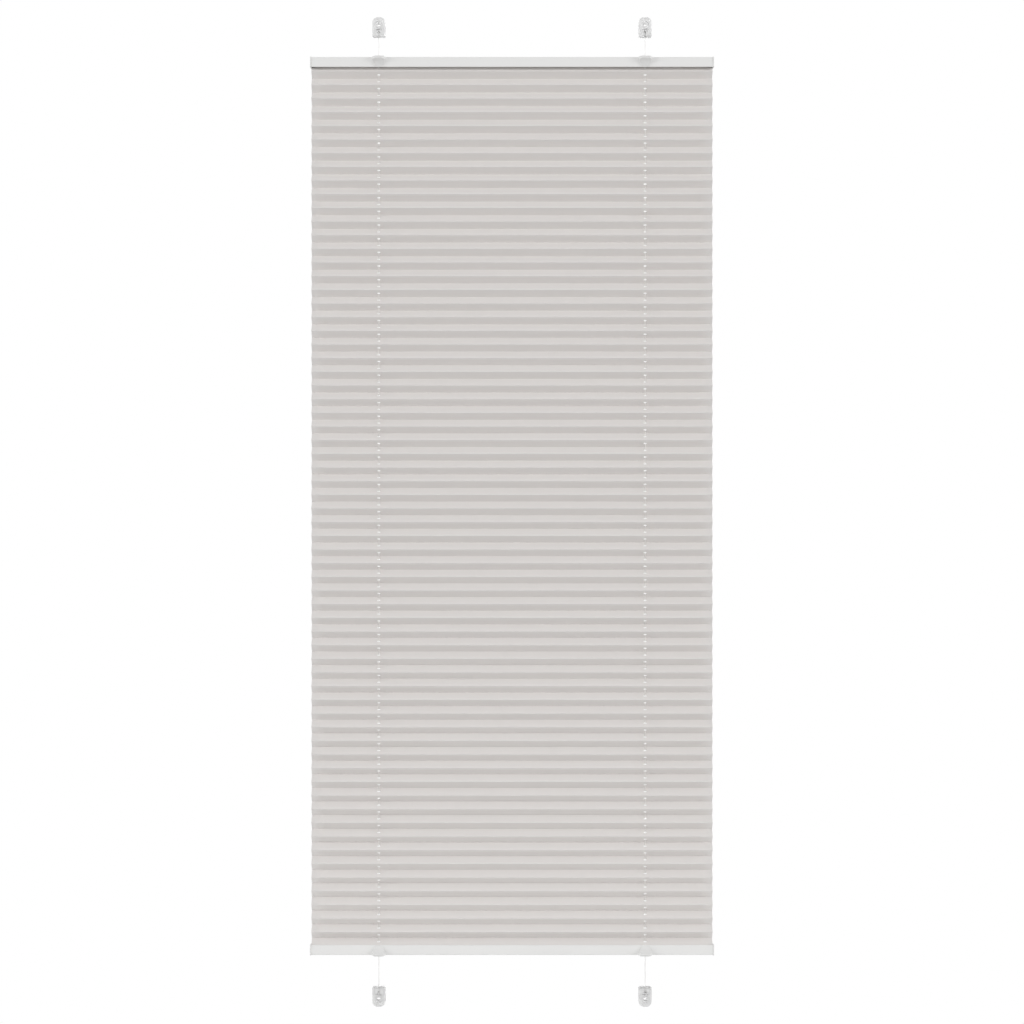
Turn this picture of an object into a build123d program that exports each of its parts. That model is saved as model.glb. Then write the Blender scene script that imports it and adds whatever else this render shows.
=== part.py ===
"""Pleated window blind: two sliding rails and a folded fabric on two tight cords.

Millimetres. +X is right, +Y is back to the window and +Z is up. The origin is midway
between the four screw holes, on the face that the shoes are screwed to.
"""

import os
from math import sqrt

from build123d import *

# The whole blind
blind_width = 450.0
blind_height = 1000.0
cord_spacing = 297.0
top_gap = 23.3
bottom_gap = 36.7
window_clearance = 2.0

# Pleated fabric
pleat_pitch = 15.2
top_flank_share = 0.75
flank_length = 14.0
fabric_thickness = 0.4
slot_width = 3.4
slot_depth = 2.8

# Rails
rail_height = 11.0
rail_wall = 1.2
rail_corner = 1.0
lip_reach = 1.2
mouth_clearance = 0.35

# Fabric strips
strip_thickness = 1.5
glue_line = 0.1

# End caps
cap_thickness = 1.3
cap_proud = 0.5
cap_corner = 1.0
cap_edge = 0.4
plug_length = 8.0
plug_wall = 1.2

# Cords and their knots
cord_diameter = 0.8
knot_radius = 1.3
knot_height = 2.4
strand_count = 8

# Cord guides
guide_length = 10.0
spigot_width = 5.0
guide_mouth = 0.5

# Finger grips
grip_plate_width = 12.0
grip_plate_thickness = 1.2
grip_nose = 3.0
grip_nose_corner = 2.0
grip_width = 15.6
grip_reach = 6.5
grip_corner = 4.5
grip_lip = 1.6
grip_waist_reach = 2.2
grip_waist_drop = 5.8
grip_foot_width = 7.8
grip_foot_reach = 0.8
grip_foot_gap = 0.8
hook_drop = 3.0
hook_thickness = 1.0

# Tension shoes
shoe_width = 14.5
shoe_head = 8.5
shoe_foot = 13.2
shoe_head_corner = 6.0
shoe_foot_corner = 1.2
shoe_edge = 1.2
shoe_wall = 1.6
cord_cover = 4.0
core_depth = 6.0
screw_radius = 1.9
screw_head_radius = 3.9
screw_head_depth = 2.2
screw_wall = 1.8
pocket_near = 4.7
pocket_far = 9.0
pocket_near_width = 6.6
pocket_far_width = 3.6

# Room between pieces
fit_clearance = 0.2
running_clearance = 0.3
overrun = 1.0

# Fabric, worked out: it ends with a front fold below, and above it is cut off along its last flank
fabric_inset = rail_wall - glue_line - fabric_thickness / 2
fabric_drop = blind_height - 2 * (rail_height - fabric_inset)
flank_count = 2 * round(fabric_drop / pleat_pitch - top_flank_share / 2)
half_pitch = fabric_drop / (flank_count + top_flank_share)
fold_depth = sqrt(flank_length**2 - half_pitch**2)
fold_shift = fabric_thickness / 2 * flank_length / half_pitch
fabric_depth = fold_depth + 2 * fold_shift

# Rails, worked out from the fabric that they have to let through
rail_mouth = fabric_depth + 2 * mouth_clearance
rail_inner_depth = rail_mouth + 2 * lip_reach
rail_depth = rail_inner_depth + 2 * rail_wall
rail_length = blind_width - 2 * cap_thickness
fabric_width = rail_length - 2 * fit_clearance
filling_depth = rail_inner_depth - 2 * fit_clearance
strip_top = -rail_height + rail_wall + strip_thickness
room_height = -rail_wall - strip_top
grip_height = rail_height - grip_foot_gap
spigot_hole = spigot_width + 2 * fit_clearance
cord_bore = cord_diameter + 2 * running_clearance

# Heights and depths in the blind's frame
cord_standoff = rail_depth / 2 + window_clearance
shoe_depth = cord_standoff + cord_cover
screw_spread = blind_height + top_gap + bottom_gap + 2 * shoe_foot
blind_top = screw_spread / 2 - shoe_foot - top_gap
blind_bottom = blind_top - blind_height
fabric_top = blind_top - rail_height + fabric_inset
fabric_bottom = fabric_top - fabric_drop

# Each rail's own frame: x along it, y back, z out of the blind, at the middle of its outer face
rail_places = {
    "top": Plane((0, -cord_standoff, blind_top), x_dir=(1, 0, 0), z_dir=(0, 0, 1)),
    "bottom": Plane((0, -cord_standoff, blind_bottom), x_dir=(-1, 0, 0), z_dir=(0, 0, -1)),
}
sides = {"left": -1, "right": 1}


def along(place, distance):
    """The rail's frame, moved along the rail."""
    return Plane(place.from_local_coords((distance, 0, 0)), x_dir=place.x_dir, z_dir=place.z_dir)


def across(place):
    """The plane square to the rail: x back, y out of the blind."""
    return Plane(place.origin, x_dir=place.y_dir, z_dir=place.x_dir)


def write(part, name):
    """Name a finished piece and write its file."""
    part.label = name
    export_step(part, f"parts/{name}.step")


def fold_line(shift):
    """The cut upper end and the corners of the folds from top to bottom, moved back by shift."""
    middle = shift - cord_standoff
    first_fold = fabric_top - top_flank_share * half_pitch
    cut_end = (middle + (top_flank_share - 1 / 2) * fold_depth, fabric_top)
    return [cut_end] + [
        (middle + (fold_depth if n % 2 else -fold_depth) / 2, first_fold - n * half_pitch)
        for n in range(flank_count + 1)
    ]


def make_fabric():
    """One zigzag sheet with a flap for the glue at each end and a slot in every flank for each cord."""
    with BuildPart() as fabric:
        with BuildSketch(Plane.YZ):
            with BuildLine():
                Polyline(fold_line(-fold_shift) + fold_line(fold_shift)[::-1], close=True)
            make_face()
            for level, share in ((fabric_top, top_flank_share), (fabric_bottom, 1)):
                with Locations((-cord_standoff - (1 - share) * fold_depth / 2, level)):
                    Rectangle(share * fold_depth + 2 * fold_shift, fabric_thickness)
        extrude(amount=fabric_width / 2, both=True)
        with BuildSketch(Plane.XY.offset(fabric_bottom - overrun)):
            with Locations((0, -cord_standoff)):
                with GridLocations(cord_spacing, 0, 2, 1):
                    Rectangle(slot_width, slot_depth)
        extrude(amount=fabric_drop + 2 * overrun, mode=Mode.SUBTRACT)
    return fabric.part


def make_rail(place):
    """A channel with its mouth towards the fabric, two lips, and a punched hole over each cord."""
    with BuildPart() as rail:
        with BuildSketch(across(place)) as section:
            with Locations((0, -rail_height / 2)):
                Rectangle(rail_depth, rail_height)
            fillet(section.vertices().group_by(Axis.Y)[-1], rail_corner)
            with Locations((0, -rail_height / 2)):
                Rectangle(rail_inner_depth, rail_height - 2 * rail_wall, mode=Mode.SUBTRACT)
            with Locations((0, -rail_height)):
                Rectangle(rail_mouth, 2 * rail_wall + overrun, mode=Mode.SUBTRACT)
        extrude(amount=rail_length / 2, both=True)
        with BuildSketch(place):
            with GridLocations(cord_spacing, 0, 2, 1):
                Rectangle(spigot_hole, spigot_hole)
        extrude(amount=-rail_wall - overrun, mode=Mode.SUBTRACT)
    return rail.part


def make_strip(place):
    """The flat strip that lies on the rail's lips and holds the end of the fabric."""
    with BuildPart() as strip:
        with BuildSketch(place.offset(strip_top)):
            Rectangle(rail_length - 2 * fit_clearance, filling_depth)
            with GridLocations(cord_spacing, 0, 2, 1):
                Rectangle(slot_width, slot_depth, mode=Mode.SUBTRACT)
        extrude(amount=-strip_thickness)
    return strip.part


def make_end_cap(place, side):
    """A plate over the rail's end, with a hollow plug that fills the room over the strip."""
    end = along(place, side * rail_length / 2)
    face = Plane(end.origin, x_dir=side * end.y_dir, z_dir=side * end.x_dir)
    plug_height = room_height - 2 * fit_clearance
    with BuildPart() as cap:
        with BuildSketch(face) as plate:
            with Locations((0, -rail_height / 2)):
                Rectangle(rail_depth + 2 * cap_proud, rail_height + 2 * cap_proud)
            chamfer(plate.vertices(), cap_corner)
        extrude(amount=cap_thickness)
        chamfer(cap.faces().sort_by(Axis(face.origin, face.z_dir))[-1].edges(), cap_edge)
        with BuildSketch(face):
            with Locations((0, -rail_wall - room_height / 2)):
                Rectangle(filling_depth, plug_height)
                Rectangle(filling_depth - 2 * plug_wall, plug_height - 2 * plug_wall, mode=Mode.SUBTRACT)
        extrude(amount=-plug_length)
    return cap.part


def make_cord_guide(place):
    """A block between strip and rail, with a square spigot out through the rail and a bore for the cord."""
    with BuildPart() as guide:
        with BuildSketch(place.offset(strip_top)):
            Rectangle(guide_length, filling_depth)
        extrude(amount=room_height)
        with BuildSketch(place.offset(-rail_wall)):
            Rectangle(spigot_width, spigot_width)
        extrude(amount=rail_wall + grip_plate_thickness)
        with BuildSketch(place.offset(strip_top)):
            Rectangle(cord_bore, cord_bore)
        extrude(amount=grip_plate_thickness - strip_top, mode=Mode.SUBTRACT)
        mouths = guide.edges().filter_by(lambda edge: edge.length < cord_bore + fit_clearance)
        chamfer(mouths, guide_mouth)
    return guide.part


def make_grip(place):
    """A plate over the rail with a hook behind it, and in front a finger lip, hollow under its rim."""
    front = -rail_depth / 2
    back = rail_depth / 2
    plate_front = front - grip_nose
    plate_back = back + hook_thickness
    with BuildPart() as grip:
        with BuildSketch(across(place)):
            with BuildLine():
                Polyline(
                    (front, 0),
                    (front - grip_reach, 0),
                    (front - grip_reach, -grip_lip),
                    (front - grip_waist_reach, -grip_waist_drop),
                    (front - grip_foot_reach, -grip_height),
                    (front, -grip_height),
                    close=True,
                )
            make_face()
        extrude(amount=grip_width / 2, both=True)
        face = Plane(place.from_local_coords((0, front, 0)), x_dir=place.x_dir, z_dir=-place.y_dir)
        with BuildSketch(face):
            with BuildLine():
                Polyline(
                    (-grip_width / 2, 0),
                    (-grip_width / 2, -grip_lip),
                    (-grip_foot_width / 2, -grip_height),
                    (grip_foot_width / 2, -grip_height),
                    (grip_width / 2, -grip_lip),
                    (grip_width / 2, 0),
                    close=True,
                )
            make_face()
        extrude(amount=grip_reach, mode=Mode.INTERSECT)
        with BuildSketch(place) as rim:
            with Locations((0, front - grip_reach / 2)):
                Rectangle(grip_width, grip_reach)
            fillet(rim.vertices().group_by(Axis.Y)[0], grip_corner)
        extrude(amount=-grip_height, mode=Mode.INTERSECT)
        with BuildSketch(place) as plate:
            with Locations((0, (plate_front + plate_back) / 2)):
                Rectangle(grip_plate_width, plate_back - plate_front)
            chamfer(plate.vertices().group_by(Axis.Y)[0], grip_nose_corner)
        extrude(amount=grip_plate_thickness)
        with BuildSketch(place):
            with Locations((0, back + hook_thickness / 2)):
                Rectangle(grip_plate_width, hook_thickness)
        extrude(amount=-hook_drop)
        with BuildSketch(place):
            Rectangle(spigot_hole, spigot_hole)
        extrude(amount=grip_plate_thickness, mode=Mode.SUBTRACT)
    return grip.part


def make_shoe(place):
    """A block with a cored back, a screw hole, and a pocket and a bore for the cord and its knot."""
    core_near = screw_radius + screw_wall
    core_far = shoe_foot - shoe_wall
    with BuildPart() as shoe:
        with BuildSketch(place) as outline:
            with Locations((0, (shoe_head - shoe_foot) / 2)):
                Rectangle(shoe_width, shoe_head + shoe_foot)
            fillet(outline.vertices().group_by(Axis.Y)[-1], shoe_head_corner)
            chamfer(outline.vertices().group_by(Axis.Y)[0], shoe_foot_corner)
        extrude(amount=shoe_depth)
        chamfer(shoe.faces().sort_by(Axis.Y)[0].edges(), shoe_edge)
        with BuildSketch(place):
            with Locations((0, -(core_near + core_far) / 2)):
                Rectangle(shoe_width - 2 * shoe_wall, core_far - core_near)
        extrude(amount=core_depth, mode=Mode.SUBTRACT)
        with BuildSketch(place.offset(cord_standoff - knot_radius - running_clearance)):
            with BuildLine():
                Polyline(
                    (-pocket_near_width / 2, -pocket_near),
                    (-pocket_far_width / 2, -pocket_far),
                    (pocket_far_width / 2, -pocket_far),
                    (pocket_near_width / 2, -pocket_near),
                    close=True,
                )
            make_face()
        extrude(amount=shoe_depth, mode=Mode.SUBTRACT)
        foot_end = place.from_local_coords((0, -shoe_foot, cord_standoff))
        with BuildSketch(Plane(foot_end, z_dir=place.y_dir)):
            Rectangle(cord_bore, cord_bore)
        extrude(amount=shoe_foot - pocket_far + overrun, mode=Mode.SUBTRACT)
        with Locations(place.offset(shoe_depth)):
            CounterBoreHole(screw_radius, screw_head_radius, screw_head_depth)
    return shoe.part


def make_cord(side):
    """A straight braided cord from knot to knot, each knot seated on the floor of its shoe's pocket."""
    spot = (side * cord_spacing / 2, -cord_standoff)
    seat = screw_spread / 2 - pocket_far
    with BuildPart() as cord:
        with BuildSketch():
            with Locations(spot):
                RegularPolygon(cord_diameter / 2, strand_count)
        extrude(amount=seat, both=True)
        with BuildSketch(Plane.XY.offset(seat), Plane.XY.offset(-seat - knot_height)):
            with Locations(spot):
                RegularPolygon(knot_radius, strand_count)
        extrude(amount=knot_height)
    return cord.part


os.makedirs("parts", exist_ok=True)
write(make_fabric(), "pleated_fabric")
for end, place in rail_places.items():
    write(make_rail(place), f"{end}_rail")
    write(make_strip(place), f"{end}_fabric_strip")
    up = place.z_dir.Z
    for side, sign in sides.items():
        # The bottom rail's frame is turned over, so its x runs the other way.
        turn = sign * up
        cord_place = along(place, turn * cord_spacing / 2)
        write(make_end_cap(place, turn), f"{end}_{side}_end_cap")
        write(make_cord_guide(cord_place), f"{end}_{side}_cord_guide")
        write(make_grip(cord_place), f"{end}_{side}_grip")
        screw = (sign * cord_spacing / 2, 0, up * screw_spread / 2)
        write(make_shoe(Plane(screw, x_dir=(up, 0, 0), z_dir=(0, -1, 0))), f"{end}_{side}_shoe")
for side, sign in sides.items():
    write(make_cord(sign), f"{side}_cord")
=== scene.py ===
# %% [markdown]
# # A pleated window blind
#
# The blind hangs between two tight cords. A folded cloth joins two slim rails, and both rails slide on the
# cords, so the cloth can open from above or from below. Four clear plastic shoes, screwed to the window,
# hold the cords.
#
# The solid model gives every rigid piece at its real size, in metres. This lesson dresses it: the cloth,
# the cords and their knots are worked out with numpy, the rigid pieces get rounded edges, and everything
# gets its finish.

# %% Load the frame
from math import pi, radians

import bmesh
import bpy
import numpy as np
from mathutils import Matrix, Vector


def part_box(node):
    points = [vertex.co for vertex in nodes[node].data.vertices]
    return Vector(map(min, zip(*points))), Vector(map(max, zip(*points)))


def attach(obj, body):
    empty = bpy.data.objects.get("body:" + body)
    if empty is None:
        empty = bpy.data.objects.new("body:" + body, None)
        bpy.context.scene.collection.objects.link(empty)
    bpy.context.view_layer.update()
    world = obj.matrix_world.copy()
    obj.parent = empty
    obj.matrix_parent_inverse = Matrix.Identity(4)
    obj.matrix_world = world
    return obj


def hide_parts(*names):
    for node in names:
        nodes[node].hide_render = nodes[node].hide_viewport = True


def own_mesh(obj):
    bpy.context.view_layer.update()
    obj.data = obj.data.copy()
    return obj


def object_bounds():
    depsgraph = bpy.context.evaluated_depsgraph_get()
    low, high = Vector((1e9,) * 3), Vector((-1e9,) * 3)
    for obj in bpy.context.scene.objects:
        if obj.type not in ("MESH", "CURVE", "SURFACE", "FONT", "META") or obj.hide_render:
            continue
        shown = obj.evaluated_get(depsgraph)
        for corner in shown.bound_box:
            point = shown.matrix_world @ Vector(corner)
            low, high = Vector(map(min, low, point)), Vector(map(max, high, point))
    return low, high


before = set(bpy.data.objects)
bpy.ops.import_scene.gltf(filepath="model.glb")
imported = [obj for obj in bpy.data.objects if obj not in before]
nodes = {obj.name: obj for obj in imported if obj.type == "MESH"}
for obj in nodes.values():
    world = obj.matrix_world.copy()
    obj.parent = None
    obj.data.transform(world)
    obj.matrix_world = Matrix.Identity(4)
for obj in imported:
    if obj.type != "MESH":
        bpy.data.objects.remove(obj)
cad_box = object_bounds()
print("solid pieces:", len(nodes), "box:", [list(corner) for corner in cad_box])

# %% [markdown]
# ## Sizes
#
# A blind is made to measure, so its sizes are read from the solids instead of being typed again. Only what
# the boxes can't tell is written further on, such as the number of folds and the thickness of the cloth.

# %% Sizes from the solids
MM = 0.001
cloth_low, cloth_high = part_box("pleated_fabric")
cord_low, cord_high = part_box("right_cord")
cord_x = (cord_low.x + cord_high.x) / 2
cord_y = (cord_low.y + cord_high.y) / 2
cord_sides = {"left": -1, "right": 1}
rail_ends = ("top", "bottom")
print("cords at x =", cord_x, "y =", cord_y, "cloth height =", cloth_high.z - cloth_low.z)

# %% [markdown]
# ## Colours and nodes
#
# A paint chip is named by an sRGB hex value, but the renderer adds up light, so it wants linear numbers.
# One function does that change for every colour. A second one adds a shader node, sets its options and
# joins its inputs, so that each material below reads as a short list of nodes. A Mix node uses the same
# socket names for numbers, vectors and colours, so its colour sockets are called by their places.

# %% Helpers for every material
mix_dark = 6
mix_light = 7
mix_result = 2


def linear(chip):
    """An sRGB hex value as linear red, green, blue and alpha. The numbers are the sRGB standard's: the low
    end is a straight line, and the rest is a power."""
    share = np.array([int(chip[k : k + 2], 16) for k in (1, 3, 5)]) / 255
    light = np.where(share <= 0.04045, share / 12.92, ((share + 0.055) / 1.055) ** 2.4)
    return (*light.tolist(), 1.0)


def add_node(tree, kind, settings, links=None):
    """Add a node. Settings name its options or its inputs, and links name the socket that feeds an
    input."""
    node = tree.nodes.new(f"ShaderNode{kind}")
    for name, value in settings.items():
        if isinstance(name, int) or name in node.inputs:
            node.inputs[name].default_value = value
        else:
            setattr(node, name, value)
    for name, socket in (links or {}).items():
        tree.links.new(socket, node.inputs[name])
    return node


def new_material(name):
    """An empty node material with its output node."""
    material = bpy.data.materials.new(name)
    material.use_nodes = True
    material.node_tree.nodes.clear()
    return material, material.node_tree, add_node(material.node_tree, "OutputMaterial", {})


print("middle grey is", linear("#808080"))

# %% [markdown]
# ## Meshes from arrays
#
# Every new surface here is a grid: numpy works out all its points at once, and the faces are the squares
# between neighbouring rows and columns. The function below turns such a grid into faces, closed into a ring
# where a tube needs it, and the next one puts the arrays into a mesh together with the flat map that
# patterns follow.


# %% Grids and meshes
def grid_faces(rows, columns, ring=False):
    """The squares of a grid of points counted row by row. In a ring the last column joins the first."""
    steps = columns if ring else columns - 1
    row, column = np.meshgrid(np.arange(rows - 1), np.arange(steps), indexing="ij")
    here = row * columns + column
    beside = row * columns + (column + 1) % columns
    return np.stack([here, beside, beside + columns, here + columns], axis=-1).reshape(-1, 4)


def put_mesh(name, points, faces, flat=None):
    """A smooth mesh object. Where flat gives two numbers for each point, they become the UV map."""
    mesh = bpy.data.meshes.new(name)
    mesh.from_pydata(points.tolist(), [], faces.tolist())
    mesh.polygons.foreach_set("use_smooth", np.ones(len(faces), bool))
    if flat is not None:
        mesh.uv_layers.new(name="flat_map").data.foreach_set("uv", flat[faces.ravel()].ravel())
    mesh.update()
    piece = bpy.data.objects.new(name, mesh)
    bpy.context.scene.collection.objects.link(piece)
    return piece


print("squares of 3 by 4 points:", len(grid_faces(3, 4)), "as a ring:", len(grid_faces(3, 4, ring=True)))

# %% [markdown]
# ## Camera
#
# The picture was taken square to the blind from a few metres away, with a long lens, so the two edges of
# the blind stay parallel. The camera stands level with the middle of the blind. It looks down a little on
# the lower pleats and up at the upper ones, so the flanks that face up show wider below than above. The
# lens follows from the distance and from the width that the square picture covers at the cords.

# %% Camera square to the blind
view_width = 1142.4 * MM
view_distance = 4.5
camera = bpy.data.objects.new("camera", bpy.data.cameras.new("camera"))
camera.location = (0, cord_y - view_distance, 0)
camera.rotation_euler = (pi / 2, 0, 0)
camera.data.lens = camera.data.sensor_width * view_distance / view_width
bpy.context.scene.collection.objects.link(camera)
bpy.context.scene.camera = camera
print("lens in mm:", round(camera.data.lens, 1))

# %% [markdown]
# ## Cords
#
# Each cord is a thin braided polyester line, pulled tight between an upper and a lower shoe. A plain
# cylinder would do from a step away, but a braid has crossing strands that catch the light. So the route is
# a spline from seat to seat, its points are read back, and a round profile is carried along them. Two
# waves, one round the cord and one along it, raise the little cushions where strands lie on top.

# %% Braided cords along their routes
cord_width = 0.8 * MM
cord_facets = 24
braid_pitch = 2.0 * MM
braid_strands = 6
braid_relief_share = 0.07
knot_height = 2.4 * MM
cord_seat = cord_high.z - knot_height
route_steps = 1024
close_to_y = 0.9


def read_route(points, steps):
    """The points along a quadratic NURBS line with the given control points."""
    curve = bpy.data.curves.new("route", "CURVE")
    curve.dimensions = "3D"
    spline = curve.splines.new("NURBS")
    spline.points.add(len(points) - 1)
    spline.points.foreach_set("co", np.column_stack([points, np.ones(len(points))]).ravel())
    spline.order_u = 3
    spline.use_endpoint_u = True
    spline.resolution_u = steps
    holder = bpy.data.objects.new("route", curve)
    mesh = bpy.data.meshes.new_from_object(holder)
    line = np.empty(3 * len(mesh.vertices))
    mesh.vertices.foreach_get("co", line)
    bpy.data.objects.remove(holder)
    bpy.data.curves.remove(curve)
    bpy.data.meshes.remove(mesh)
    return line.reshape(-1, 3)


def tube(line, radius, sides, relief=0.0):
    """A round profile carried along a line: at each point the cosine and sine of the angle are laid on two
    directions square to the line. The first of them is square to y too, or to x where the line runs close
    to y. The relief adds the mean of a wave round the tube and a wave along it to the radius."""
    ahead = np.gradient(line, axis=0)
    ahead /= np.linalg.norm(ahead, axis=1, keepdims=True)
    distance = np.concatenate([[0], np.cumsum(np.linalg.norm(np.diff(line, axis=0), axis=1))])
    axis = np.where(np.abs(ahead[:, 1:2]) < close_to_y, (0.0, 1.0, 0.0), (1.0, 0.0, 0.0))
    aside = np.cross(ahead, axis)
    aside /= np.linalg.norm(aside, axis=1, keepdims=True)
    up = np.cross(ahead, aside)
    angle = np.arange(sides) / sides * 2 * pi
    wave = (np.cos(braid_strands * angle) + np.cos(2 * pi * distance / braid_pitch)[:, None]) / 2
    reach = radius * (1 - relief + relief * wave)
    turn = np.cos(angle)[:, None] * aside[:, None] + np.sin(angle)[:, None] * up[:, None]
    points = (line[:, None] + reach[..., None] * turn).reshape(-1, 3)
    flat = np.stack(np.broadcast_arrays(angle * radius, distance[:, None]), axis=-1).reshape(-1, 2)
    return points, grid_faces(len(line), sides, ring=True), flat


cords = {}
for side, sign in cord_sides.items():
    ends = [(sign * cord_x, cord_y, z) for z in (cord_seat, 0, -cord_seat)]
    route = read_route(ends, route_steps)
    cord = put_mesh(f"{side}_braided_cord", *tube(route, cord_width / 2, cord_facets, braid_relief_share))
    cords[side] = cord
    print(cord.name, "points:", len(cord.data.vertices), "route points:", len(route))

# %% [markdown]
# ## Knots
#
# A cord ends in an overhand knot that sits on the floor of its shoe's pocket and takes the pull. The line
# of such a knot is a trefoil: while it goes twice round the middle it weaves three times up and down. The
# same tube runs along that closed line, squeezed to the size of a tight knot.

# %% Overhand knots
knot_radius = (cord_high.x - cord_low.x) / 2
knot_strand = 0.4 * MM
knot_points = 97
knot_facets = 12
trefoil_reach = 3
knots = {side: [] for side in cord_sides}


def knot_line(centre, count):
    """A trefoil: sin t + 2 sin 2t and cos t - 2 cos 2t across, which reach 3 from the middle, and -sin 3t
    up, scaled to the knot's box."""
    t = np.linspace(0, 2 * pi, count)
    x = np.sin(t) + 2 * np.sin(2 * t)
    y = np.cos(t) - 2 * np.cos(2 * t)
    reach = (knot_radius - knot_strand) / trefoil_reach
    rise = knot_height / 2 - knot_strand
    return np.array(centre) + np.stack([x, y, -np.sin(3 * t)], axis=-1) * (reach, reach, rise)


for side, sign in cord_sides.items():
    for end, up in (("top", 1), ("bottom", -1)):
        middle = (sign * cord_x, cord_y, up * (cord_seat + knot_height / 2))
        line = knot_line(middle, knot_points)
        knots[side].append(put_mesh(f"{end}_{side}_knot", *tube(line, knot_strand, knot_facets)))
print("knots:", [knot.name for pair in knots.values() for knot in pair])

# %% [markdown]
# ## What the cords belong to
#
# A cord and its two knots stay with the shoes while the rails slide, so they ride on the body of the shoes
# and take the place of the plain cord in the solid model.

for side, sign in cord_sides.items():
    for piece in (cords[side], *knots[side]):
        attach(piece, "anchors")
        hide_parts(f"{side}_cord")
print("cord length:", 2 * cord_seat)

# %% [markdown]
# ## Cloth, first flat
#
# The cloth is one long strip. On the bench it is creased into flanks of equal length, pushed into a stack,
# and punched through for the cords. Modelling the folds directly would make the punched slots hard to
# place, so the strip is drawn flat first: one flank is a grid, with rows that crowd together near its two
# folds, and the squares round each cord are swapped for rings that close in on an oval slot.

# %% One flank of the flat cloth
cloth_width = cloth_high.x - cloth_low.x
slot_width = 3.4 * MM
slot_depth = 2.8 * MM
slot_margin = 3.2 * MM
slot_middle = 0.5
slot_rows = (5, 9)
slot_columns = 4
slot_rings = 3
rows_per_flank = 14
edge_columns = 5
inner_columns = 14


def flank_grid():
    """Columns across the cloth in metres, and rows down a flank as shares of it, spaced by a cosine."""
    rows = (1 - np.cos(pi * np.arange(rows_per_flank + 1) / rows_per_flank)) / 2
    inner, outer = cord_x - slot_margin, cord_x + slot_margin
    spans = [
        np.linspace(-cloth_width / 2, -outer, edge_columns + 1)[:-1],
        np.linspace(-outer, -inner, slot_columns + 1)[:-1],
        np.linspace(-inner, inner, inner_columns + 1)[:-1],
        np.linspace(inner, outer, slot_columns + 1)[:-1],
        np.linspace(outer, cloth_width / 2, edge_columns + 1),
    ]
    return np.concatenate(spans), rows


def slot_rim(columns, first):
    """The places in the grid of the squares' outline round one slot, in order: along its top row, down its
    last column, back along its bottom row and up its first column."""
    top, bottom = slot_rows
    last = first + slot_columns
    across = np.arange(first, last)
    down = np.arange(top, bottom)
    row = [np.full(slot_columns, top), down, np.full(slot_columns, bottom), down[::-1] + 1]
    column = [across, np.full(len(down), last), across[::-1] + 1, np.full(len(down), first)]
    return np.concatenate(row) * len(columns) + np.concatenate(column)


def flat_flank(slot_share):
    """Points (across, share of the flank) and faces of one flank with its two slots. A ring's points lie on
    straight lines from the square outline to the oval, and slot_share is the oval's half length as a share
    of the flank."""
    columns, rows = flank_grid()
    across, down = np.meshgrid(columns, rows)
    points = np.stack([across.ravel(), down.ravel()], axis=-1)
    faces = grid_faces(len(rows), len(columns))
    middle = points[faces].mean(axis=1)
    near_cord = np.abs(np.abs(middle[:, 0]) - cord_x) < slot_margin
    near_centre = (middle[:, 1] > rows[slot_rows[0]]) & (middle[:, 1] < rows[slot_rows[1]])
    faces = faces[~(near_cord & near_centre)]
    oval = np.array([slot_width / 2, slot_share])
    share = (np.arange(1, slot_rings + 1) / slot_rings)[:, None, None]
    for sign in cord_sides.values():
        first = int(np.argmin(np.abs(columns - (sign * cord_x - slot_margin))))
        rim = slot_rim(columns, first)
        centre = (sign * cord_x, slot_middle)
        offset = points[rim] - centre
        edge = offset / np.linalg.norm(offset / oval, axis=1, keepdims=True)
        rings = centre + offset * (1 - share) + edge * share
        numbers = np.concatenate([rim, len(points) + np.arange(slot_rings * len(rim))])
        faces = np.concatenate([faces, numbers[grid_faces(slot_rings + 1, len(rim), ring=True)]])
        points = np.concatenate([points, rings.reshape(-1, 2)])
    return points, faces


print("columns and rows of a flank:", [len(places) for places in flank_grid()])

# %% [markdown]
# ## Cloth, then folded
#
# Folding is a function of one number, the distance walked along the strip. A flank leans by a fixed angle,
# first one way and then the other, and at a fold the lean swings over within a millimetre, as in a heat-set
# crease. The running sums of the lean's sine and cosine then give the depth and the height. At both ends a
# flap lies flat, where it is glued to a strip inside the rail. Above, the last flank is cut short to fit
# the drop.

# %% Where the folded cloth lies
cloth_thickness = 0.3 * MM
flank_count = 128
top_flank_share = 0.65
crease = 0.2 * MM
table_steps = 200
ripple = 0.12 * MM
ripple_widths = (70 * MM, 41 * MM)
ripple_turns = 7
ripple_skew = 1.7
cloth_top = cloth_high.z - cloth_thickness / 2
cloth_bottom = cloth_low.z + cloth_thickness / 2
cloth_depth = cloth_high.y - cloth_low.y
half_pitch = (cloth_top - cloth_bottom) / (flank_count + top_flank_share)
crease_depth = cloth_depth - cloth_thickness
flank_length = np.hypot(half_pitch, crease_depth)
cut_lengths = top_flank_share * np.array([crease_depth, flank_length])
lengths = np.concatenate([cut_lengths, np.full(flank_count, flank_length), [crease_depth]])
folds = np.concatenate([[0], np.cumsum(lengths)])


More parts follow.
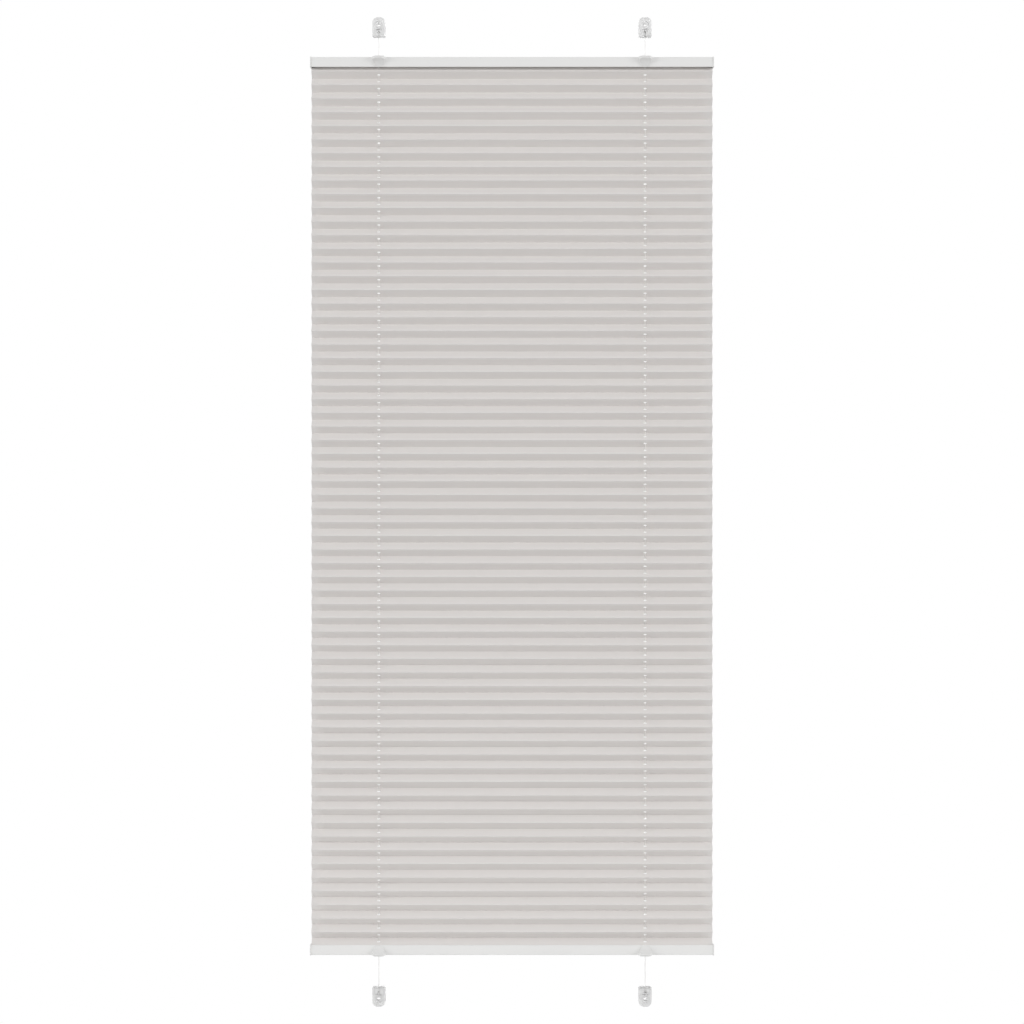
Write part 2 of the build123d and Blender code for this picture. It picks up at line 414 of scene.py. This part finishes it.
def fold_table():
    """Distance, depth and height along the strip. The lean is the mean of two neighbouring flanks' leans
    plus a tanh step between them. Depth and height are its running sums, stretched to the solid cloth's own
    levels."""
    slope = np.arctan2(crease_depth, half_pitch)
    zigzag = slope * np.where(np.arange(flank_count) % 2, -1, 1)
    leans = np.concatenate([[pi / 2, -slope], zigzag, [pi / 2]])
    distance = np.linspace(0, folds[-1], table_steps * len(leans))
    nearest = np.searchsorted((folds[1:-2] + folds[2:-1]) / 2, distance)
    before, after = leans[nearest], leans[nearest + 1]
    swing = np.tanh((distance - folds[nearest + 1]) / crease)
    lean = (before + after) / 2 + (after - before) / 2 * swing
    step = distance[1] - distance[0]
    depth = np.cumsum(np.sin(lean)) * step
    height = -np.cumsum(np.cos(lean)) * step
    depth = (depth - depth.min()) / np.ptp(depth) * crease_depth + cloth_low.y + cloth_thickness / 2
    height = cloth_top + (height - height[0]) / np.ptp(height) * (cloth_top - cloth_bottom)
    return distance, depth, height


def folded(flat):
    """Flat points (across, distance) on the folded cloth. The product of two slow sine waves, calmed to
    nothing at both ends of the strip, moves the folds in and out a little."""
    distance, depth, height = fold_table()
    across, walked = flat[:, 0], flat[:, 1]
    y = np.interp(walked, distance, depth)
    z = np.interp(walked, distance, height)
    phase = 2 * pi * walked / (folds[-1] / ripple_turns)
    wide = np.sin(across / ripple_widths[0] + phase)
    slow = wide * np.sin(across / ripple_widths[1] - ripple_skew * phase)
    calm = np.sin(pi * walked / folds[-1])
    return np.stack([across, y + ripple * slow * calm, z], axis=-1)


print("flank length:", flank_length, "pleat pitch:", 2 * half_pitch, "length of the strip:", folds[-1])

# %% [markdown]
# ## Cloth in two halves
#
# Each rail pushes its own half of the cloth together, so the strip is cut at a front fold near the middle,
# where the cut can't be seen. Every flank is the same flat grid, moved along the strip: one array sum makes
# them all, and points that neighbouring flanks share are merged. Solidify gives the cloth its thickness.

# %% Two halves of the pleated cloth
middle_fold = 66
merge_distance = 0.001 * MM
slot_room = 0.9


def slot_places():
    """For each flank, its slots' middle and the half length of the rings as shares of the flank, which
    leave a tenth of the room to the nearer fold free. The cord keeps to the middle of the depth, which is
    not the middle of the two cut lengths above."""
    rows = flank_grid()[1][list(slot_rows)]
    middle = np.full(len(lengths), slot_middle)
    middle[:2] = slot_middle / top_flank_share, 1 - slot_middle / top_flank_share
    room = slot_room * np.minimum(middle, 1 - middle)
    return middle, np.minimum(np.ptp(rows) / 2 * flank_length / lengths, room), rows


def pleated_cloth(name, first, last):
    """The flanks from first up to last, each the flat flank moved by its place on the strip, merged and
    folded. Rows above, beside and below the slots are spread evenly over the lengths that the flank has
    there."""
    points, faces = flat_flank(slot_depth / crease_depth / 2)
    flanks = np.arange(first, last)
    across = np.broadcast_to(points[:, 0], (len(flanks), len(points)))
    middle, half, rows = slot_places()
    upper, lower = (middle - half)[flanks, None], (middle + half)[flanks, None]
    down = points[:, 1]
    above = down / rows[0] * upper
    below = 1 - (1 - down) / (1 - rows[1]) * (1 - lower)
    beside = upper + (down - rows[0]) / np.ptp(rows) * (lower - upper)
    share = np.where(down < rows[0], above, np.where(down > rows[1], below, beside))
    walked = folds[flanks, None] + lengths[flanks, None] * share
    flat = np.stack([across, walked], axis=-1).reshape(-1, 2)
    every = (faces[None] + len(points) * np.arange(len(flanks))[:, None, None]).reshape(-1, 4)
    rounded = np.round(flat / merge_distance)
    _, place, number = np.unique(rounded, axis=0, return_index=True, return_inverse=True)
    used, renumbered = np.unique(number.ravel()[every], return_inverse=True)
    flat = flat[place][used]
    piece = put_mesh(name, folded(flat), renumbered.reshape(-1, 4), flat)
    wall = piece.modifiers.new("cloth thickness", "SOLIDIFY")
    wall.thickness = cloth_thickness
    wall.offset = 0
    return piece


cloth = {
    "top": pleated_cloth("upper_pleated_cloth", 0, middle_fold),
    "bottom": pleated_cloth("lower_pleated_cloth", middle_fold, len(lengths)),
}
print("faces:", {piece.name: len(piece.data.polygons) for piece in cloth.values()})

# %% [markdown]
# ## What the cloth rides on
#
# A rail at its limit leaves its half of the cloth as a tight stack beside the fold in the middle, which
# stays where it is. Here each half rides on the body of the shoes, takes the place of the solid cloth and
# gets a mesh of its own.

for end, edge in (("top", cloth_top), ("bottom", cloth_bottom)):
    piece = cloth[end]
    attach(piece, "anchors")
    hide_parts("pleated_fabric")
    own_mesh(piece)

# %% [markdown]
# ## Cloth finish
#
# The cloth is a plain woven polyester, dyed a warm light grey and set in its folds by heat. The eye sees a
# dull, even surface: tiny threads scatter the light, and a few thicker threads make faint streaks across.
# The thread pattern follows the flat map, so it bends with the folds. Blender's wave texture runs at a rate
# of 20 radians a unit, so the spacing of a pattern in millimetres is turned to a scale by that rate.

# %% Woven polyester
wave_rate = 20
thread_spacing = 0.5 * MM
slub_length = 30 * MM
slub_height = 1.2 * MM


def woven_polyester():
    """Crossing waves at the thread spacing make the weave's bump, and a stretched noise makes the thicker
    threads, which change the tone and the dullness a little."""
    material, tree, output = new_material("woven_polyester_light_grey")
    flat = add_node(tree, "UVMap", {"uv_map": "flat_map"})
    threads = {"Scale": 2 * pi / thread_spacing / wave_rate, "Distortion": 0.4, "Detail": 1.0}
    waves = []
    for direction in ("X", "Y"):
        settings = {"bands_direction": direction, **threads}
        wave = add_node(tree, "TexWave", settings, {"Vector": flat.outputs["UV"]})
        waves.append(wave.outputs["Fac"])
    weave = add_node(tree, "Math", {"operation": "MULTIPLY"}, {0: waves[0], 1: waves[1]})
    slub_scale = (1 / slub_length, 1 / slub_height, 1.0)
    stretch = add_node(tree, "Mapping", {"Scale": slub_scale}, {"Vector": flat.outputs["UV"]})
    slub = add_node(
        tree, "TexNoise",
        {"Scale": 1.0, "Detail": 3.0, "Roughness": 0.6},
        {"Vector": stretch.outputs["Vector"]},
    )
    tone = add_node(
        tree, "Mix",
        {"data_type": "RGBA", mix_dark: linear("#E4E1DF"), mix_light: linear("#E9E6E4")},
        {0: slub.outputs["Fac"]},
    )
    dull = add_node(tree, "MapRange", {"To Min": 0.82, "To Max": 0.95}, {"Value": slub.outputs["Fac"]})
    bump = add_node(
        tree, "Bump", {"Strength": 0.25, "Distance": 0.05 * MM}, {"Height": weave.outputs["Value"]}
    )
    surface = add_node(
        tree, "BsdfPrincipled",
        {"IOR": 1.45, "Sheen Weight": 0.15, "Sheen Roughness": 0.5, "Specular IOR Level": 0.2},
        {
            "Base Color": tone.outputs[mix_result],
            "Roughness": dull.outputs["Result"],
            "Normal": bump.outputs["Normal"],
        },
    )
    tree.links.new(surface.outputs["BSDF"], output.inputs["Surface"])
    return material


cloth_finish = woven_polyester()
for piece in cloth.values():
    piece.data.materials.append(cloth_finish)
print("finish:", cloth_finish.name)

# %% [markdown]
# ## Cord finish
#
# The cord is braided from undyed polyester strands, which let most of the light through, so that it hardly
# shows on the window. Pulled tight into a knot, the same strands scatter it and look white. The strands are
# narrower than a pixel in the picture, so the braid is drawn by two slanting sets of lines on the cord's
# own flat map, as coarse as the relief of the mesh.

# %% Braided polyester
strand_spacing = braid_pitch / 2


def braided_polyester(name, clear):
    """Two waves slanting opposite ways over the cord's map. The higher one is the strand on top. The share
    of the light that goes through is given as clear."""
    material, tree, output = new_material(name)
    flat = add_node(tree, "UVMap", {"uv_map": "flat_map"})
    strands = {"Scale": 2 * pi / strand_spacing / wave_rate}
    slants = []
    for turn in (-pi / 4, pi / 4):
        turned = add_node(tree, "Mapping", {"Rotation": (0, 0, turn)}, {"Vector": flat.outputs["UV"]})
        wave = add_node(tree, "TexWave", strands, {"Vector": turned.outputs["Vector"]})
        slants.append(wave.outputs["Fac"])
    strand = add_node(tree, "Math", {"operation": "MAXIMUM"}, {0: slants[0], 1: slants[1]})
    tone = add_node(
        tree, "Mix",
        {"data_type": "RGBA", mix_dark: linear("#E8E8E6"), mix_light: linear("#F2F2F0")},
        {0: strand.outputs["Value"]},
    )
    bump = add_node(
        tree, "Bump", {"Strength": 0.3, "Distance": 0.05 * MM}, {"Height": strand.outputs["Value"]}
    )
    surface = add_node(
        tree, "BsdfPrincipled",
        {"IOR": 1.5, "Roughness": 0.5, "Transmission Weight": clear},
        {"Base Color": tone.outputs[mix_result], "Normal": bump.outputs["Normal"]},
    )
    tree.links.new(surface.outputs["BSDF"], output.inputs["Surface"])
    return material


cord_finish = braided_polyester("braided_polyester_translucent", clear=0.85)
knot_finish = braided_polyester("braided_polyester_knotted", clear=0.1)
for side in cord_sides:
    cords[side].data.materials.append(cord_finish)
    for piece in knots[side]:
        piece.data.materials.append(knot_finish)
print("finishes:", cord_finish.name, knot_finish.name)

# %% [markdown]
# ## Rounded edges for the rigid pieces
#
# No moulded or pressed edge is perfectly sharp, and the thin bright line on a rounded edge is what tells
# the eye how big a thing is. The solids already have the right form, so each visible one is copied, its
# loose triangles are merged, flat neighbours are joined, and a Bevel rounds what is still sharp.

# %% Copies of the solids with rounded edges
flat_angle = radians(0.5)
sharp_angle = radians(30)
bevel_angle = radians(40)
bevel_steps = 2
rail_edge = 0.2 * MM
cap_edge = 0.15 * MM
grip_edge = 0.5 * MM
shoe_edge = 0.3 * MM
rail_body = {"top": "upper_rail", "bottom": "lower_rail"}


def softened(node, body, edge, suffix):
    """Copy a solid's mesh, merge its triangles into flat faces and round its sharp edges by the given
    width."""
    mesh = nodes[node].data.copy()
    shape = bmesh.new()
    shape.from_mesh(mesh)
    bmesh.ops.remove_doubles(shape, verts=shape.verts, dist=merge_distance)
    bmesh.ops.dissolve_limit(shape, angle_limit=flat_angle, verts=shape.verts, edges=shape.edges)
    shape.to_mesh(mesh)
    shape.free()
    if "custom_normal" in mesh.attributes:
        mesh.attributes.remove(mesh.attributes["custom_normal"])
    mesh.materials.clear()
    mesh.polygons.foreach_set("use_smooth", np.ones(len(mesh.polygons), bool))
    mesh.set_sharp_from_angle(angle=sharp_angle)
    piece = bpy.data.objects.new(f"{node}_{suffix}", mesh)
    bpy.context.scene.collection.objects.link(piece)
    bevel = piece.modifiers.new("rounded edges", "BEVEL")
    bevel.width = edge
    bevel.segments = bevel_steps
    bevel.limit_method = "ANGLE"
    bevel.angle_limit = bevel_angle
    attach(piece, body)
    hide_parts(node)
    return piece


rails = [softened(f"{e}_rail", rail_body[e], rail_edge, "profile") for e in rail_ends]
corners = [(end, side) for end in rail_ends for side in cord_sides]
caps = [softened(f"{e}_{s}_end_cap", rail_body[e], cap_edge, "moulding") for e, s in corners]
grips = [softened(f"{e}_{s}_grip", rail_body[e], grip_edge, "moulding") for e, s in corners]
shoes = [softened(f"{e}_{s}_shoe", "anchors", shoe_edge, "moulding") for e, s in corners]
print("rounded pieces:", len(rails + caps + grips + shoes))

# %% [markdown]
# ## Rail finish
#
# The rails are extruded aluminium under a white powder coat. Melted powder leaves a fine orange peel, a few
# tenths of a millimetre wide, so the gloss breaks up softly. That grain is finer than a pixel here, so it
# is drawn a little coarser than it is.

# %% Powder-coated aluminium
peel_width = 1.5 * MM
cloud_width = 60 * MM


def powder_coat():
    """A soft noise at the width of the orange peel drives the bump and the gloss, and a slow one the
    tone."""
    material, tree, output = new_material("powder_coated_aluminium_white")
    place = add_node(tree, "TexCoord", {}).outputs["Object"]
    peel = add_node(tree, "TexNoise", {"Scale": 1 / peel_width, "Detail": 2.0}, {"Vector": place})
    cloud = add_node(tree, "TexNoise", {"Scale": 1 / cloud_width, "Detail": 2.0}, {"Vector": place})
    tone = add_node(
        tree, "Mix",
        {"data_type": "RGBA", mix_dark: linear("#E6E6E5"), mix_light: linear("#EBEBEA")},
        {0: cloud.outputs["Fac"]},
    )
    gloss = add_node(tree, "MapRange", {"To Min": 0.42, "To Max": 0.55}, {"Value": peel.outputs["Fac"]})
    bump = add_node(
        tree, "Bump", {"Strength": 0.1, "Distance": 0.05 * MM}, {"Height": peel.outputs["Fac"]}
    )
    surface = add_node(
        tree, "BsdfPrincipled",
        {"IOR": 1.5},
        {
            "Base Color": tone.outputs[mix_result],
            "Roughness": gloss.outputs["Result"],
            "Normal": bump.outputs["Normal"],
        },
    )
    tree.links.new(surface.outputs["BSDF"], output.inputs["Surface"])
    return material


rail_finish = powder_coat()
for piece in rails:
    piece.data.materials.append(rail_finish)
print("finish:", rail_finish.name)

# %% [markdown]
# ## Moulded plastics
#
# End caps, grips, cord guides and cloth strips are moulded or extruded plastics. They differ in tone and
# gloss, but each is made the same way: a mould wall etched with a fine grain leaves that grain on the part,
# and the tone drifts a little where the plastic flowed.

# %% Moulded and extruded plastics
grain_width = 0.8 * MM
flow_width = 12 * MM
gloss_drift = 0.06


def moulded_plastic(name, dark, light, roughness, ior):
    """Fine noise at the mould's grain makes the bump and the change of gloss, and a slow noise moves the
    tone."""
    material, tree, output = new_material(name)
    place = add_node(tree, "TexCoord", {}).outputs["Object"]
    fine = add_node(tree, "TexNoise", {"Scale": 1 / grain_width, "Detail": 3.0}, {"Vector": place})
    flow = add_node(tree, "TexNoise", {"Scale": 1 / flow_width, "Detail": 1.0}, {"Vector": place})
    tone = add_node(
        tree, "Mix",
        {"data_type": "RGBA", mix_dark: linear(dark), mix_light: linear(light)},
        {0: flow.outputs["Fac"]},
    )
    gloss = add_node(
        tree, "MapRange",
        {"To Min": roughness - gloss_drift, "To Max": roughness + gloss_drift},
        {"Value": fine.outputs["Fac"]},
    )
    bump = add_node(
        tree, "Bump", {"Strength": 0.15, "Distance": 0.03 * MM}, {"Height": fine.outputs["Fac"]}
    )
    surface = add_node(
        tree, "BsdfPrincipled",
        {"IOR": ior},
        {
            "Base Color": tone.outputs[mix_result],
            "Roughness": gloss.outputs["Result"],
            "Normal": bump.outputs["Normal"],
        },
    )
    tree.links.new(surface.outputs["BSDF"], output.inputs["Surface"])
    return material


cap_finish = moulded_plastic("moulded_abs_white", "#DEDEDD", "#E3E3E2", roughness=0.45, ior=1.53)
grip_finish = moulded_plastic("moulded_abs_light_grey", "#DFDFDE", "#E4E4E3", roughness=0.4, ior=1.53)
guide_finish = moulded_plastic("moulded_acetal_natural", "#E6E5E0", "#EDECE7", roughness=0.35, ior=1.48)
strip_finish = moulded_plastic("extruded_pvc_white", "#E2E2DF", "#E8E8E5", roughness=0.5, ior=1.54)
for piece in caps:
    piece.data.materials.append(cap_finish)
for piece in grips:
    piece.data.materials.append(grip_finish)
for end in rail_ends:
    nodes[f"{end}_fabric_strip"].material_slots[0].material = strip_finish
    for side in cord_sides:
        nodes[f"{end}_{side}_cord_guide"].material_slots[0].material = guide_finish
print("finishes:", [finish.name for finish in (cap_finish, grip_finish, guide_finish, strip_finish)])

# %% [markdown]
# ## Clear shoes
#
# The shoes are moulded in clear polycarbonate, so that they hardly show on a window frame. A mould with a
# dull inside frosts the surface, and the light that gets in is bent and partly scattered: the white behind
# shows through as a light grey, darker where the plastic is deep or turned away.


# %% Frosted polycarbonate
def frosted_polycarbonate():
    """A rough refracting plastic. Noise at the frost's grain moves the tone, the roughness and the bump."""
    material, tree, output = new_material("moulded_polycarbonate_frosted")
    place = add_node(tree, "TexCoord", {}).outputs["Object"]
    frost = add_node(tree, "TexNoise", {"Scale": 1 / grain_width, "Detail": 3.0}, {"Vector": place})
    tone = add_node(
        tree, "Mix",
        {"data_type": "RGBA", mix_dark: linear("#E8E8E8"), mix_light: linear("#EFEFEF")},
        {0: frost.outputs["Fac"]},
    )
    gloss = add_node(tree, "MapRange", {"To Min": 0.32, "To Max": 0.42}, {"Value": frost.outputs["Fac"]})
    bump = add_node(
        tree, "Bump", {"Strength": 0.02, "Distance": 0.03 * MM}, {"Height": frost.outputs["Fac"]}
    )
    surface = add_node(
        tree, "BsdfPrincipled",
        {"IOR": 1.58, "Transmission Weight": 0.75},
        {
            "Base Color": tone.outputs[mix_result],
            "Roughness": gloss.outputs["Result"],
            "Normal": bump.outputs["Normal"],
        },
    )
    tree.links.new(surface.outputs["BSDF"], output.inputs["Surface"])
    return material


shoe_finish = frosted_polycarbonate()
for piece in shoes:
    piece.data.materials.append(shoe_finish)
print("finish:", shoe_finish.name)

# %% [markdown]
# ## Floor
#
# The blind hangs, so the floor is only a pale ground a little below the lower shoes that takes the soft
# shadow when the view comes from above. Towards its rim it fades into the white around it, so that no edge
# shows.

# %% Pale floor
floor_drop = 70 * MM
floor_reach = (0.9, 0.45)
floor_rings = 9
floor_spokes = 48


def pale_floor():
    """A disc of rings: radius share times the reach in x and y, on a level below the object. The paint
    turns to plain white for the camera as that share goes up."""
    share = np.linspace(0, 1, floor_rings)[:, None]
    angle = np.arange(floor_spokes) / floor_spokes * 2 * pi
    x = share * np.cos(angle) * floor_reach[0]
    y = share * np.sin(angle) * floor_reach[1] + cord_y
    z = np.full_like(x, cad_box[0].z - floor_drop)
    points = np.stack([x, y, z], axis=-1).reshape(-1, 3)
    floor = put_mesh("floor", points, grid_faces(floor_rings, floor_spokes, ring=True)[:, ::-1])
    material, tree, output = new_material("pale_floor_paint")
    place = add_node(tree, "TexCoord", {})
    shrink = add_node(
        tree, "Mapping",
        {
            "Location": (0, -cord_y / floor_reach[1], 0),
            "Scale": (1 / floor_reach[0], 1 / floor_reach[1], 0),
        },
        {"Vector": place.outputs["Object"]},
    )
    radius = add_node(tree, "VectorMath", {"operation": "LENGTH"}, {0: shrink.outputs["Vector"]})
    fade = add_node(
        tree, "MapRange",
        {"interpolation_type": "SMOOTHSTEP", "From Min": 0.4, "From Max": 0.95, "To Min": 0.4},
        {"Value": radius.outputs["Value"]},
    )
    ray = add_node(tree, "LightPath", {})
    seen = add_node(
        tree, "Math",
        {"operation": "MULTIPLY"},
        {0: fade.outputs["Result"], 1: ray.outputs["Is Camera Ray"]},
    )
    paint = add_node(tree, "BsdfDiffuse", {"Color": linear("#F2F2F1")})
    white = add_node(tree, "Emission", {"Strength": 1.0})
    mixed = add_node(
        tree, "MixShader",
        {},
        {0: seen.outputs["Value"], 1: paint.outputs["BSDF"], 2: white.outputs["Emission"]},
    )
    tree.links.new(mixed.outputs["Shader"], output.inputs["Surface"])
    floor.data.materials.append(material)
    return floor


floor = pale_floor()
print("floor at z =", round(floor.data.vertices[0].co.z, 4))

# %% [markdown]
# ## Light
#
# A white room and a few broad lamps give soft light. The lamps stand in front and at both sides, above the
# middle of the blind, so the flanks that look up are lighter than those that look down, and each rail casts
# a thin shade on the cloth. Two lamps behind do the same for the back. What the camera sees behind the
# blind is plain white.

# %% World and lamps
room_level = 0.55
lamp_size = 4.0
lamps = {
    "front_lamp": ((3.2, -8.4, 4.2), 55),
    "side_lamp": ((7.2, -3.6, 1.2), 205),
    "back_lamp": ((5.0, 6.5, 2.0), 150),
}


def white_room(level):
    """White where the camera, a reflection or clear plastic looks, and an even soft light for the rest."""
    world = bpy.data.worlds.new("white_room")
    bpy.context.scene.world = world
    world.use_nodes = True
    tree = world.node_tree
    tree.nodes.clear()
    ray = add_node(tree, "LightPath", {})
    looks = ray.outputs["Is Camera Ray"]
    for kind in ("Is Glossy Ray", "Is Transmission Ray"):
        either = add_node(tree, "Math", {"operation": "MAXIMUM"}, {0: looks, 1: ray.outputs[kind]})
        looks = either.outputs["Value"]
    strength = add_node(tree, "MapRange", {"To Min": level, "To Max": 1.0}, {"Value": looks})
    white = {"Color": linear("#FFFFFF")}
    background = add_node(tree, "Background", white, {"Strength": strength.outputs["Result"]})
    add_node(tree, "OutputWorld", {}, {"Surface": background.outputs["Background"]})


def soft_lamp(name, place, watts):
    """A square lamp at a place, turned to look at the origin: tipped by the angle between its place and the
    z axis, and turned about z. It doesn't show to the camera or through clear plastic."""
    x, y, z = place
    lamp = bpy.data.objects.new(name, bpy.data.lights.new(name, "AREA"))
    lamp.data.size = lamp_size
    lamp.data.energy = watts
    lamp.location = place
    lamp.rotation_euler = (np.arctan2(np.hypot(x, y), z), 0, np.arctan2(x, -y))
    lamp.visible_camera = False
    lamp.visible_transmission = False
    bpy.context.scene.collection.objects.link(lamp)


white_room(room_level)
for side, sign in cord_sides.items():
    for name, ((x, y, z), watts) in lamps.items():
        soft_lamp(f"{side}_{name}", (sign * x, y, z), watts)
bpy.context.scene.view_settings.view_transform = "Standard"
print("watts on each side:", {name: watts for name, (place, watts) in lamps.items()})
